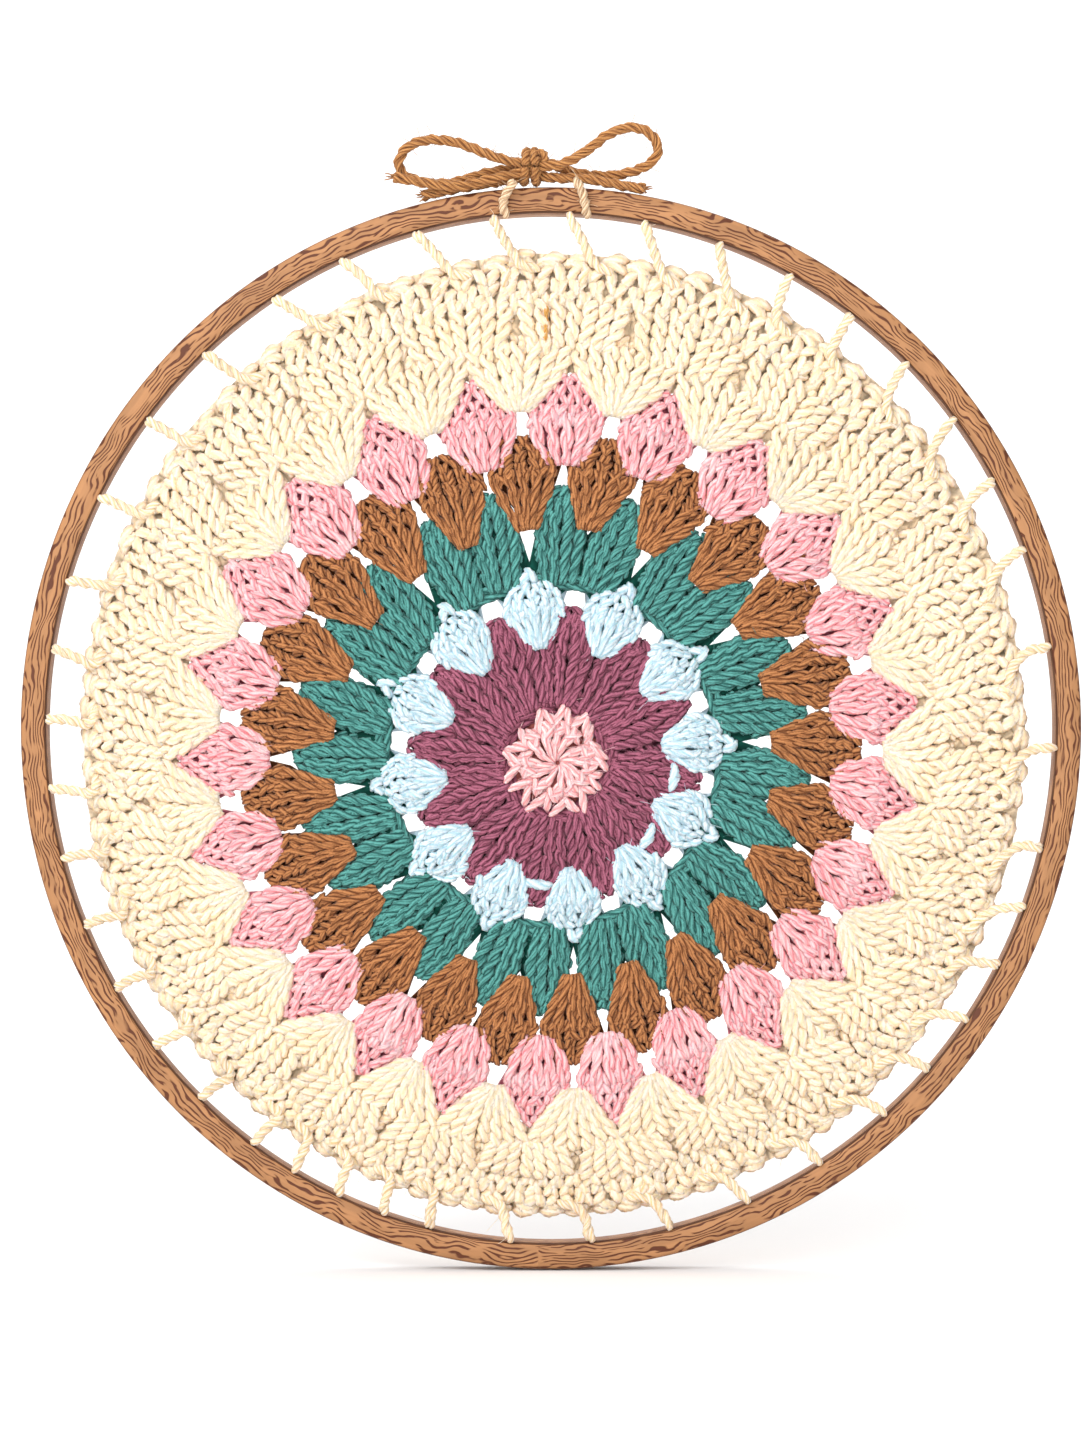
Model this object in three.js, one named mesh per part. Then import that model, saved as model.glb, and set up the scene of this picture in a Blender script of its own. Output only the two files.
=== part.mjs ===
// A crochet mandala laced into a wooden hoop, with a twine bow on top.
// Millimetres. +Z is up and +X is to the viewer's right. The wall is the plane Y = 0 behind the hoop,
// and the face looks towards -Y. Depth below means the distance in front of that wall.
// The origin is the point of the hoop's inner wall, at its back edge, that bears on a nail.
import * as THREE from "three";

// Driving sizes. The lacing pulls the ring a little taller than wide.
const HOOP_OUTER_RADIUS = 125;
const HOOP_INNER_RADIUS = 119;
const HOOP_DEPTH = 9;
const HOOP_EDGE_ROUND = 1;
const HOOP_SEGMENTS = 72;
const OVAL = 1.02;
const YARN_RADIUS = 1.1;
const TWINE_RADIUS = 1.2;
const TIE_RADIUS = 1.1;
const FIRST_MOTIF_TURN = 7.4;
const SMALL_MOTIFS = 12;
const LARGE_MOTIFS = 24;

const COLOURS = {
  wood: "#b97a4a",
  coral: "#f0a6a0",
  plum: "#8a4863",
  paleBlue: "#cfe3ea",
  teal: "#43907f",
  brown: "#a5683c",
  pink: "#eb9fb0",
  cream: "#f3dfb4",
  lacing: "#f1dfb8",
  twine: "#b98350",
  tie: "#d9bd97",
};

// How the worked rounds lie: each radius has its centre's shift from the hoop's centre, how far the
// stitches twist, and how far they crowd towards the bottom, in degrees.
const LAY = [
  { radius: 0, x: 1.6, z: -8.1, twist: 0, crowd: 0.4 },
  { radius: 35, x: 0.6, z: -6.6, twist: 0, crowd: 2.2 },
  { radius: 62, x: 0.1, z: -5.2, twist: 2.6, crowd: 4.2 },
  { radius: 87, x: -0.5, z: -5.2, twist: 3.4, crowd: 4.8 },
  { radius: 112, x: 0.7, z: -1.2, twist: 3.4, crowd: 4.2 },
];

// Sections through half of a motif. turn is in degrees from the motif's middle, and the other columns
// are the corners of the section as [radius, depth]: its front from the inner edge to the outer edge,
// then its back. A low chain joins one cluster to the next behind the foot of the next round.
const PLUM_SECTIONS = [
  { turn: 0, inner: [14.5, 4.8], low: [19, 7], high: [31, 6.9], outer: [35, 4.9], back: [24, 2.6] },
  { turn: 3, inner: [14.1, 4.8], low: [19, 6.8], high: [29.4, 6.8], outer: [33, 4.8], back: [24, 2.6] },
  { turn: 7.5, inner: [13.2, 4.8], low: [18, 6.5], high: [26, 6.4], outer: [29, 4.8], back: [22, 2.6] },
  { turn: 12, inner: [12.4, 4.8], low: [17, 6.8], high: [22.6, 6.8], outer: [26, 4.8], back: [20, 2.6] },
  { turn: 15, inner: [11.9, 4.8], low: [17, 6.9], high: [22.4, 6.9], outer: [25.5, 4.8], back: [19, 2.6] },
];
const BLUE_SECTIONS = [
  { turn: 0, inner: [26.1, 5], low: [29, 7.1], high: [37, 7], outer: [40.3, 4.8], back: [33, 2.6] },
  { turn: 3, inner: [26.7, 5], low: [29.5, 7.1], high: [37, 7], outer: [40.2, 4.8], back: [33, 2.6] },
  { turn: 7.5, inner: [29.7, 4.9], low: [32, 6.7], high: [36, 6.6], outer: [39.2, 4.5], back: [34, 2.6] },
  { turn: 12, inner: [38.4, 3.4], low: [38.8, 4.1], high: [39.9, 4.1], outer: [40.5, 3.4], back: [39.4, 2.7] },
  { turn: 15, inner: [40, 3.4], low: [40.5, 4.1], high: [41.6, 4.1], outer: [42.1, 3.4], back: [41, 2.7] },
];
const TEAL_SECTIONS = [
  { turn: 0, inner: [38.9, 5.8], low: [42.5, 7.1], high: [48, 6.6], outer: [51.3, 4.7], back: [47, 2.6], step: [43.4, 4.7] },
  { turn: 3, inner: [39.4, 5.8], low: [43, 7.1], high: [52, 6.9], outer: [56.4, 4.7], back: [48, 2.6], step: [42.8, 4.7] },
  { turn: 6, inner: [40.6, 5.4], low: [43.5, 7], high: [57, 6.9], outer: [60.4, 4.7], back: [50, 2.6], step: [42.4, 4.2] },
  { turn: 7.5, inner: [40.6, 5], low: [43.5, 7], high: [58, 6.9], outer: [61.3, 4.7], back: [50, 2.6], step: [42.2, 3.4] },
  { turn: 9, inner: [40.7, 4.8], low: [43.5, 7], high: [56.8, 6.9], outer: [60.2, 4.7], back: [50, 2.6], step: [42.2, 3.2] },
  { turn: 12, inner: [40.9, 4.8], low: [43.5, 6.6], high: [51, 6.7], outer: [55.6, 4.7], back: [47, 2.6], step: [42.2, 3.2] },
  { turn: 15, inner: [41, 4.4], low: [41.8, 5.6], high: [44, 5.6], outer: [45, 4.4], back: [44, 3.1], step: [42, 3.1] },
];
const BROWN_SECTIONS = [
  { turn: 0, inner: [51.9, 5.2], low: [56, 7.1], high: [69.5, 7], outer: [73.2, 4.8], back: [62, 2.6] },
  { turn: 3, inner: [57.2, 5], low: [60.2, 7], high: [68.8, 6.9], outer: [72.4, 4.7], back: [64, 2.6] },
  { turn: 6, inner: [61.8, 4.6], low: [63.2, 6], high: [65.8, 5.2], outer: [69.8, 3.4], back: [66, 2.7] },
  { turn: 7.5, inner: [68.2, 3.4], low: [68.6, 4.1], high: [69.8, 4.1], outer: [70.3, 3.4], back: [69.2, 2.7] },
];
const PINK_SECTIONS = [
  { turn: 0, inner: [66.5, 5.8], low: [70.5, 7.2], high: [83, 7], outer: [87.2, 4.8], back: [78, 2.6], step: [71.4, 4.7] },
  { turn: 2.4, inner: [68.6, 5.8], low: [72, 7.2], high: [81.4, 7], outer: [85, 4.8], back: [78, 2.6], step: [72.4, 4.7] },
  { turn: 5, inner: [73.5, 5], low: [75, 6.5], high: [78.6, 6.2], outer: [81.8, 4.1], back: [77.7, 2.6], step: [74.6, 3.4] },
  { turn: 7.5, inner: [82.2, 3.4], low: [82.7, 4.1], high: [84, 4.1], outer: [84.6, 3.4], back: [83.6, 2.7], step: [82.6, 2.8] },
];
const CREAM_SECTIONS = [
  { turn: 0, inner: [78.7, 6.1], foot: [82, 7.3], shell: [94.5, 7.4], seam: [99, 6.3], row: [104.5, 7.1], outer: [111.7, 4.7], back: [99, 2.6], step: [86.6, 4.7] },
  { turn: 3, inner: [82.4, 5.4], foot: [85, 7.1], shell: [94.5, 7.2], seam: [99, 6.2], row: [104.5, 7], outer: [111.5, 4.7], back: [99, 2.6], step: [86.8, 4.4] },
  { turn: 6, inner: [86.6, 4.9], foot: [88.6, 6.4], shell: [93.5, 6.6], seam: [99, 6], row: [104.5, 6.8], outer: [111.3, 4.7], back: [100, 2.6], step: [88.6, 3.4] },
  { turn: 7.5, inner: [87.8, 4.9], foot: [89.4, 5.8], shell: [93.5, 6.1], seam: [99, 5.8], row: [104.5, 6.7], outer: [111.2, 4.7], back: [100, 2.6], step: [89.4, 3.4] },
];

// The coral middle is a pointed disc. Its points meet the hollows of the next round.
const CORAL_POINT_RADIUS = 14;
const CORAL_HOLLOW_RADIUS = 11.2;
const CORAL_CROWN_RADIUS = 6.5;
const CORAL_DEPTHS = { edge: 4.7, crown: 6.7, middle: 6.3, back: 2.7 };

// Lacing strands between one angle and the last, clockwise from the top. lean is how far round the
// crochet end of a strand is from its end at the hoop, in degrees.
const LACING_START = -6.6;
const LACING_SPANS = [
  { to: 28.3, strands: 4, lean: 2.5 },
  { to: 69.6, strands: 5, lean: 0.6 },
  { to: 103.5, strands: 3, lean: 0.9 },
  { to: 138.6, strands: 5, lean: 1.4 },
  { to: 194, strands: 6, lean: 1.6 },
  { to: 216.1, strands: 4, lean: 0.9 },
  { to: 286.7, strands: 9, lean: -0.3 },
  { to: 326.8, strands: 4, lean: 1.1 },
  { to: 353.4, strands: 3, lean: 2.4 },
];
const LACING_SIDES = 5;
const LACING_STEPS = 5;
// A strand's course, from the hoop's face over its inner edge and across the gap to the edge
// stitches: turn is the share of the lean, and shift the share of the crochet's own shift.
const LACING_COURSE = [
  { radius: 119.8, depth: 10.45, turn: 0, shift: 0 },
  { radius: 117.6, depth: 10, turn: 0.15, shift: 0 },
  { radius: 112.6, depth: 8.8, turn: 0.5, shift: 0.4 },
  { radius: 107.6, depth: 7.9, turn: 1, shift: 1 },
];

// The bow, measured from the hoop's centre. Each route is a list of [x, depth, z].
const KNOT = { x: -4.9, depth: 7.6, z: 132.35, halfWidth: 3.5, halfDepth: 4, halfHeight: 4.55 };
const LEFT_LOOP_ROUTE = [
  [-9.1, 9.4, 133.3],
  [-13.3, 9.4, 134.5],
  [-17.8, 9.2, 136.3],
  [-22.3, 9, 137.9],
  [-27.3, 8.8, 138.6],
  [-31.3, 8.4, 138.1],
  [-34.5, 8, 136.3],
  [-35.9, 7.4, 133.6],
  [-35.2, 6.4, 131.1],
  [-32.3, 5.6, 129.6],
  [-28.2, 5.1, 128.8],
  [-23.7, 4.9, 128.9],
  [-19.2, 4.8, 130.1],
  [-14.6, 4.9, 131.4],
  [-9.1, 5.6, 132.1],
];
const RIGHT_LOOP_ROUTE = [
  [-0.7, 9.3, 132.3],
  [3, 9.4, 132.9],
  [8.4, 9.4, 135.9],
  [13.8, 9.2, 139.9],
  [19.3, 8.8, 141.5],
  [23.5, 8.4, 139.9],
  [25.2, 8, 136.8],
  [24, 7.4, 133.8],
  [20.2, 6.2, 131.8],
  [14.7, 4.9, 130.7],
  [9.3, 4.5, 130.8],
  [4.8, 4.5, 131.7],
  [-0.8, 5.2, 133.6],
];
const UPPER_TAIL_ROUTE = [
  [-8.4, 9.6, 130.3],
  [-12.8, 10.5, 129.4],
  [-17.5, 10.6, 128.2],
  [-22.5, 10.6, 127.4],
  [-28, 10.4, 127.9],
  [-33.6, 10.1, 129],
  [-37.3, 10, 129.5],
];
const LOWER_TAIL_ROUTE = [
  [-8.5, 6.6, 129.4],
  [-11.6, 7.1, 129],
  [-15.6, 7.4, 128.4],
  [-19, 7.4, 127.8],
  [-22.5, 7.4, 127.2],
  [-26.8, 7.4, 126.3],
  [-30.9, 7.4, 125.5],
];
const RIGHT_TAIL_ROUTE = [
  [-1.3, 7.4, 130],
  [3, 7.5, 129.7],
  [7.5, 7.5, 129.6],
  [11.6, 7.5, 129],
  [16.1, 7.5, 128.1],
  [19.7, 7.5, 127.5],
  [22.6, 7.5, 127.1],
];
const LEFT_TIE_ROUTE = [
  [-9.3, 11.6, 127.4],
  [-10.4, 11, 126],
  [-11.1, 10.6, 124.3],
  [-11.2, 10.6, 122.6],
  [-10.9, 10.6, 121.4],
];
const RIGHT_TIE_ROUTE = [
  [6.2, 10.9, 128.2],
  [7.2, 10.8, 126.4],
  [7.8, 10.6, 124.3],
  [8.1, 10.6, 122.6],
  [8.3, 10.6, 121.4],
];

const DEGREE = Math.PI / 180;

// The row of LAY at a radius, worked out between its neighbours.
function layAt(radius) {
  const last = LAY.length - 1;
  const above = Math.max(1, LAY.findIndex((row, i) => row.radius >= radius || i === last));
  const [a, b] = [LAY[above - 1], LAY[above]];
  const share = THREE.MathUtils.clamp((radius - a.radius) / (b.radius - a.radius), 0, 1);
  const between = (name) => THREE.MathUtils.lerp(a[name], b[name], share);
  return { x: between("x"), z: between("z"), twist: between("twist"), crowd: between("crowd") };
}

// A point of the mandala, from its radius, its angle clockwise from the top and its depth.
function stitchPoint(radius, angle, depth) {
  const lay = layAt(radius);
  const turned = (angle + lay.twist + lay.crowd * Math.sin(angle * DEGREE)) * DEGREE;
  const x = lay.x + radius * Math.sin(turned);
  const z = (lay.z + radius * Math.cos(turned)) * OVAL;
  return new THREE.Vector3(x, -depth, z);
}

// A point that keeps its angle about the hoop's centre, moved by share of the crochet's own shift.
function hoopPoint(radius, angle, depth, share) {
  const lay = layAt(radius);
  const x = share * lay.x + radius * Math.sin(angle * DEGREE);
  const z = (share * lay.z + radius * Math.cos(angle * DEGREE)) * OVAL;
  return new THREE.Vector3(x, -depth, z);
}

// A closed band through loops of points, each joined to the next and the last to the first.
function bandGeometry(loops) {
  const size = loops[0].length;
  const index = [];
  loops.forEach((loop, i) => {
    const following = loops[(i + 1) % loops.length];
    const here = i * size;
    const next = ((i + 1) % loops.length) * size;
    for (let j = 0; j < size; j += 1) {
      const k = (j + 1) % size;
      const corners = [here + j, next + j, next + k, here + k];
      const first = loop[j].distanceTo(following[k]) > loop[k].distanceTo(following[j]) ? 1 : 0;
      const [a, b, c, d] = [0, 1, 2, 3].map((step) => corners[(step + first) % 4]);
      index.push(a, b, c, a, c, d);
    }
  });
  const geometry = new THREE.BufferGeometry().setFromPoints(loops.flat());
  geometry.setIndex(index);
  geometry.computeVertexNormals();
  return geometry;
}

// One worked round: its half sections mirrored and repeated all the way round.
function roundGeometry(sections, motifs, firstTurn) {
  const half = 180 / motifs;
  const mirrored = sections
    .filter((row) => row.turn > 0 && row.turn < half)
    .map((row) => ({ ...row, turn: -row.turn }))
    .reverse();
  const whole = [...mirrored, ...sections];
  const loops = [];
  for (let motif = 0; motif < motifs; motif += 1) {
    for (const { turn, ...corners } of whole) {
      const angle = firstTurn + motif * 2 * half + turn;
      loops.push(Object.values(corners).map(([radius, depth]) => stitchPoint(radius, angle, depth)));
    }
  }
  return bandGeometry(loops);
}

// The coral middle: a low crown inside a ring of points, closed by one vertex in front and behind.
function coralGeometry() {
  const corners = 2 * SMALL_MOTIFS;
  const points = [stitchPoint(0, 0, CORAL_DEPTHS.middle), stitchPoint(0, 0, CORAL_DEPTHS.back)];
  const index = [];
  for (let i = 0; i < corners; i += 1) {
    const angle = FIRST_MOTIF_TURN + (i * 360) / corners;
    const edge = i % 2 ? CORAL_HOLLOW_RADIUS : CORAL_POINT_RADIUS;
    points.push(stitchPoint(CORAL_CROWN_RADIUS, angle, CORAL_DEPTHS.crown));
    points.push(stitchPoint(edge, angle, CORAL_DEPTHS.edge));
    const crown = 2 + 2 * i;
    const nextCrown = 2 + 2 * ((i + 1) % corners);
    index.push(0, nextCrown, crown);
    index.push(crown, nextCrown + 1, crown + 1, crown, nextCrown, nextCrown + 1);
    index.push(1, crown + 1, nextCrown + 1);
  }
  const geometry = new THREE.BufferGeometry().setFromPoints(points);
  geometry.setIndex(index);
  geometry.computeVertexNormals();
  return geometry;
}

// The hoop: a rectangular section with eased edges, turned about the Y axis.
function hoopGeometry() {
  const [inner, outer, ease] = [HOOP_INNER_RADIUS, HOOP_OUTER_RADIUS, HOOP_EDGE_ROUND];
  const front = -HOOP_DEPTH;
  const profile = [
    [inner, 0],
    [inner, front + ease],
    [inner + ease, front],
    [outer - ease, front],
    [outer, front + ease],
    [outer, -ease / 2],
    [outer - ease / 2, 0],
    [inner, 0],
  ].map(([radius, y]) => new THREE.Vector2(radius, y));
  return new THREE.LatheGeometry(profile, HOOP_SEGMENTS).scale(1, 1, OVAL);
}

function circleShape(radius, sides) {
  const corners = [];
  for (let i = 0; i < sides; i += 1) {
    const angle = (i * 2 * Math.PI) / sides;
    corners.push(new THREE.Vector2(radius * Math.cos(angle), radius * Math.sin(angle)));
  }
  return new THREE.Shape(corners);
}

function tubeGeometry(points, radius, sides, steps) {
  const path = new THREE.CatmullRomCurve3(points, false, "centripetal");
  return new THREE.ExtrudeGeometry(circleShape(radius, sides), { steps, bevelEnabled: false, extrudePath: path });
}

function lacingStrandGeometry(angle, lean) {
  const points = LACING_COURSE.map(({ radius, depth, turn, shift }) =>
    hoopPoint(radius, angle + lean * turn, depth, shift),
  );
  return tubeGeometry(points, YARN_RADIUS, LACING_SIDES, LACING_STEPS);
}

// The knot: a lump with the two turns of twine that bind the bow raised on it.
function knotGeometry() {
  const geometry = new THREE.SphereGeometry(1, 14, 8);
  const position = geometry.getAttribute("position");
  const point = new THREE.Vector3();
  for (let i = 0; i < position.count; i += 1) {
    point.fromBufferAttribute(position, i);
    const ridge = 1 - 0.1 * Math.cos(2 * Math.PI * point.x) * (1 - Math.abs(point.z));
    position.setXYZ(i, point.x * KNOT.halfWidth, point.z * KNOT.halfDepth * ridge, point.y * KNOT.halfHeight);
  }
  const outward = geometry.index.array;
  for (let i = 0; i < outward.length; i += 3) {
    [outward[i + 1], outward[i + 2]] = [outward[i + 2], outward[i + 1]];
  }
  geometry.translate(KNOT.x, -KNOT.depth, KNOT.z);
  geometry.computeVertexNormals();
  return geometry;
}

function twineGeometry(route, radius, steps) {
  const points = route.map(([x, depth, z]) => new THREE.Vector3(x, -depth, z));
  return tubeGeometry(points, radius, 8, steps);
}

const art = new THREE.Group();
art.name = "crochet_mandala_in_hoop";
art.position.z = -HOOP_INNER_RADIUS * OVAL;

function addPiece(name, geometry, colour, roughness) {
  const material = new THREE.MeshStandardMaterial({ color: colour, roughness, metalness: 0 });
  const mesh = new THREE.Mesh(geometry, material);
  mesh.name = name;
  art.add(mesh);
}

const BETWEEN_SMALL = FIRST_MOTIF_TURN + 180 / SMALL_MOTIFS;
const BETWEEN_LARGE = FIRST_MOTIF_TURN + 180 / LARGE_MOTIFS;

addPiece("hoop", hoopGeometry(), COLOURS.wood, 0.55);
addPiece("round_coral", coralGeometry(), COLOURS.coral, 0.85);
addPiece("round_plum", roundGeometry(PLUM_SECTIONS, SMALL_MOTIFS, FIRST_MOTIF_TURN), COLOURS.plum, 0.85);
addPiece("round_pale_blue", roundGeometry(BLUE_SECTIONS, SMALL_MOTIFS, BETWEEN_SMALL), COLOURS.paleBlue, 0.85);
addPiece("round_teal", roundGeometry(TEAL_SECTIONS, SMALL_MOTIFS, FIRST_MOTIF_TURN), COLOURS.teal, 0.85);
addPiece("round_brown", roundGeometry(BROWN_SECTIONS, LARGE_MOTIFS, FIRST_MOTIF_TURN), COLOURS.brown, 0.85);
addPiece("round_pink", roundGeometry(PINK_SECTIONS, LARGE_MOTIFS, BETWEEN_LARGE), COLOURS.pink, 0.85);
addPiece("round_cream", roundGeometry(CREAM_SECTIONS, LARGE_MOTIFS, FIRST_MOTIF_TURN), COLOURS.cream, 0.85);

let strandNumber = 0;
let spanFrom = LACING_START;
for (const { to, strands, lean } of LACING_SPANS) {
  for (let i = 0; i < strands; i += 1) {
    strandNumber += 1;
    const name = `lacing_${String(strandNumber).padStart(2, "0")}`;
    const angle = spanFrom + ((to - spanFrom) * i) / strands;
    addPiece(name, lacingStrandGeometry(angle, lean), COLOURS.lacing, 0.85);
  }
  spanFrom = to;
}

addPiece("bow_knot", knotGeometry(), COLOURS.twine, 0.9);
addPiece("bow_loop_left", twineGeometry(LEFT_LOOP_ROUTE, TWINE_RADIUS, 22), COLOURS.twine, 0.9);
addPiece("bow_loop_right", twineGeometry(RIGHT_LOOP_ROUTE, TWINE_RADIUS, 20), COLOURS.twine, 0.9);
addPiece("bow_tail_upper", twineGeometry(UPPER_TAIL_ROUTE, TWINE_RADIUS, 8), COLOURS.twine, 0.9);
addPiece("bow_tail_lower", twineGeometry(LOWER_TAIL_ROUTE, TWINE_RADIUS, 7), COLOURS.twine, 0.9);
addPiece("bow_tail_right", twineGeometry(RIGHT_TAIL_ROUTE, TWINE_RADIUS, 7), COLOURS.twine, 0.9);
addPiece("tie_left", twineGeometry(LEFT_TIE_ROUTE, TIE_RADIUS, 7), COLOURS.tie, 0.9);
addPiece("tie_right", twineGeometry(RIGHT_TIE_ROUTE, TIE_RADIUS, 7), COLOURS.tie, 0.9);

export default art;
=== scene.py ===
"""A crochet mandala laced into a wooden hoop, dressed stitch by stitch around its solids."""

import math

import bmesh
import bpy
import numpy as np
from mathutils import Matrix, Vector


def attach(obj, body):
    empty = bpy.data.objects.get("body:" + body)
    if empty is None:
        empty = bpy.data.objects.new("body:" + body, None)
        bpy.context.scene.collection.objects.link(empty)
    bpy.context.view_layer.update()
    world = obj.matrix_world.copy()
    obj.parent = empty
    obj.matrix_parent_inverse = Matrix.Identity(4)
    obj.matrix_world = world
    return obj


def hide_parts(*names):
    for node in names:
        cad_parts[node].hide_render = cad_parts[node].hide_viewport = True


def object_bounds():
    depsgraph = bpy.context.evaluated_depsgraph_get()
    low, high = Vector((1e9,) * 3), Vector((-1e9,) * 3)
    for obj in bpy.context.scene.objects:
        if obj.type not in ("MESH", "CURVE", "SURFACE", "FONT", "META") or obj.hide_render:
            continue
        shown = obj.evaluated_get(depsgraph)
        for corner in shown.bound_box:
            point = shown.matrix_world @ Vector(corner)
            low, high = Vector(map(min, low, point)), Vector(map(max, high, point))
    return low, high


bl_info = {
    "name": "Crochet Mandala Hoop",
    "version": (1, 0, 0),
    "blender": (4, 5, 0),
    "location": "View3D > Sidebar > Crochet Hoop",
    "description": "Builds a crochet mandala laced into a wooden hoop with a twine bow",
    "category": "Add Mesh",
}

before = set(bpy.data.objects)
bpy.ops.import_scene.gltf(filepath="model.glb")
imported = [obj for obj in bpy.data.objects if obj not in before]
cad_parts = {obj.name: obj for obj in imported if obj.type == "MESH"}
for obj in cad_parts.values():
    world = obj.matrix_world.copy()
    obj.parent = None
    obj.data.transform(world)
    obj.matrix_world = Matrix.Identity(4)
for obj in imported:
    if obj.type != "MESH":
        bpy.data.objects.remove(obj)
CAD_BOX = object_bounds()

MM = 0.001
BODY = "root"

# The hoop is taller than wide by OVAL, and the origin is the top of its inner wall.
OVAL = 1.02
INNER_RADIUS = 119.0
OUTER_RADIUS = 125.0
HOOP_TOP = INNER_RADIUS * OVAL

# Yarn radius in millimetres, the first spike's clockwise angle, how soft the pale yarns look.
YARN_RADIUS = 1.05
FIRST_TURN = 7.4
SOFT = 0.35

# How the worked rounds lie: radius, the centre's shift in x and z, twist and crowding in degrees.
LAY = np.array(
    [
        [0, 1.6, -8.1, 0, 0.4],
        [35, 0.6, -6.6, 0, 2.2],
        [62, 0.1, -5.2, 2.6, 4.2],
        [87, -0.5, -5.2, 3.4, 4.8],
        [112, 0.7, -1.2, 3.4, 4.2],
    ]
)
MIDDLE_X, MIDDLE_Z = LAY[1, 1:3]

# How many clusters the inner and the outer rounds have, and the radius at the foot of each round.
INNER_COUNT = 12
OUTER_COUNT = 24
PLUM_FOOT, PALE_BLUE_FOOT, TEAL_FOOT = 12.5, 25.6, 39.4
BROWN_FOOT, PINK_FOOT, SHELL_FOOT, SECOND_ROW_FOOT = 51.7, 66.3, 78.6, 91.6

# Depths of the solids' back and of the ground's, the share of the solids' thickness that the
# ground keeps, and the radius past which it takes the teal's painted shade, not the pale blue's.
SOLID_BACK = 2.6
GROUND_BACK = 2.9
GROUND_FLATTENING = 0.42
BLUE_EDGE = 38.0

# The hoop's section as (radius, depth), up the inner wall, over the face and down to the back.
HOOP_SECTION = [
    (119.0, 0.9), (119.0, 8.1), (119.3, 8.7), (119.9, 9.0), (124.1, 9.0), (124.7, 8.7),
    (125.0, 8.1), (125.0, 0.9), (124.7, 0.3), (124.1, 0.0), (119.9, 0.0), (119.3, 0.3),
]

# Lacing strands: clockwise angle of the span's end, strands in it, lean of the crochet end.
LACING_START = -6.6
LACING_SPANS = [
    (28.3, 4, 2.5), (69.6, 5, 0.6), (103.5, 3, 0.9), (138.6, 5, 1.4), (194.0, 6, 1.6),
    (216.1, 4, 0.9), (286.7, 9, -0.3), (326.8, 4, 1.1), (353.4, 3, 2.4),
]

# A strand's way in: radius, depth, shares of its tilt and bend, turn, share of the crochet's shift.
LACING_ROUTE = [
    (118.7, 8.5, 0, 0, 0, 0), (118.1, 9.2, 0, 0, 0, 0), (116.8, 9.4, 0.15, 0, 0, 0),
    (115.2, 9.1, 0.3, 1, 0, 0.1), (112.6, 8.6, 0.6, 1, 0, 0.4), (110.4, 8.1, 0.9, 0, 0, 0.8),
    (109.0, 7.7, 1, 0, 0.5, 1), (108.4, 7.4, 1, 0, 1.6, 1), (108.0, 6.4, 1, 0, 2.7, 1),
]

# Routes of the bow from the hoop's centre, as (x, depth, z) in millimetres.
KNOT = (-4.9, 7.6, 132.35)
LEFT_LOOP = [
    (-9.1, 9.4, 133.3), (-13.3, 9.4, 134.5), (-17.8, 9.2, 136.3), (-22.3, 9.0, 137.9),
    (-27.3, 8.8, 138.6), (-31.3, 8.4, 138.1), (-34.5, 8.0, 136.3), (-35.9, 7.4, 133.6),
    (-35.2, 6.4, 131.1), (-32.3, 5.6, 129.6), (-28.2, 5.1, 128.8), (-23.7, 4.9, 128.9),
    (-19.2, 4.8, 130.1), (-14.6, 4.9, 131.4), (-9.1, 5.6, 132.1),
]
RIGHT_LOOP = [
    (-0.7, 9.3, 132.3), (3.0, 9.4, 132.9), (8.4, 9.4, 135.9), (13.8, 9.2, 139.9),
    (19.3, 8.8, 141.5), (23.5, 8.4, 139.9), (25.2, 8.0, 136.8), (24.0, 7.4, 133.8),
    (20.2, 6.2, 131.8), (14.7, 4.9, 130.7), (9.3, 4.5, 130.8), (4.8, 4.5, 131.7),
    (-0.8, 5.2, 133.6),
]
UPPER_TAIL = [
    (-8.4, 9.6, 130.3), (-12.8, 10.5, 129.4), (-17.5, 10.6, 128.2), (-22.5, 10.6, 127.4),
    (-28.0, 10.4, 127.9), (-33.6, 10.1, 129.0), (-37.3, 10.0, 129.5),
]
LOWER_TAIL = [
    (-8.5, 6.6, 129.4), (-11.6, 7.1, 129.0), (-15.6, 7.4, 128.4), (-19.0, 7.4, 127.8),
    (-22.5, 7.4, 127.2), (-26.8, 7.4, 126.3), (-30.9, 7.4, 125.5),
]
RIGHT_TAIL = [
    (-1.3, 7.4, 130.0), (3.0, 7.5, 129.7), (7.5, 7.5, 129.6), (11.6, 7.5, 129.0),
    (16.1, 7.5, 128.1), (19.7, 7.5, 127.5), (22.6, 7.5, 127.1),
]
LEFT_TIE = [
    (-8.6, 11.4, 128.6), (-10.2, 11.2, 126.2), (-11.1, 10.7, 124.3), (-11.2, 10.6, 122.6),
    (-10.9, 10.2, 121.2), (-10.6, 9.0, 120.6),
]
RIGHT_TIE = [
    (5.6, 10.2, 129.2), (7.0, 10.9, 126.8), (7.8, 10.7, 124.3), (8.1, 10.6, 122.6),
    (8.3, 10.2, 121.2), (8.3, 9.0, 120.6),
]

# The photo in pixels: its height, how many go to a millimetre on the crochet's face, and how far
# the hoop's centre lies right of its middle and below it. Then the camera's lens and sensor.
PHOTO_TALL = 1448
PIXELS_PER_MM = 4.237
CENTRE_OFFSET = (8, 4)
FACE_DEPTH = 7.0
LENS = 100
SENSOR = 36


# Lines and objects


def along(line):
    """How far each point lies along a line."""
    return np.concatenate([[0], np.cumsum(np.linalg.norm(np.diff(line, axis=0), axis=1))])


def points_at(line, at, lengths):
    """The points of a line at given distances along it."""
    return np.stack([np.interp(at, lengths, line[:, i]) for i in range(3)], 1)


def unit(vectors):
    """The same directions at length one."""
    return vectors / np.linalg.norm(vectors, axis=1)[:, None]


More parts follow.
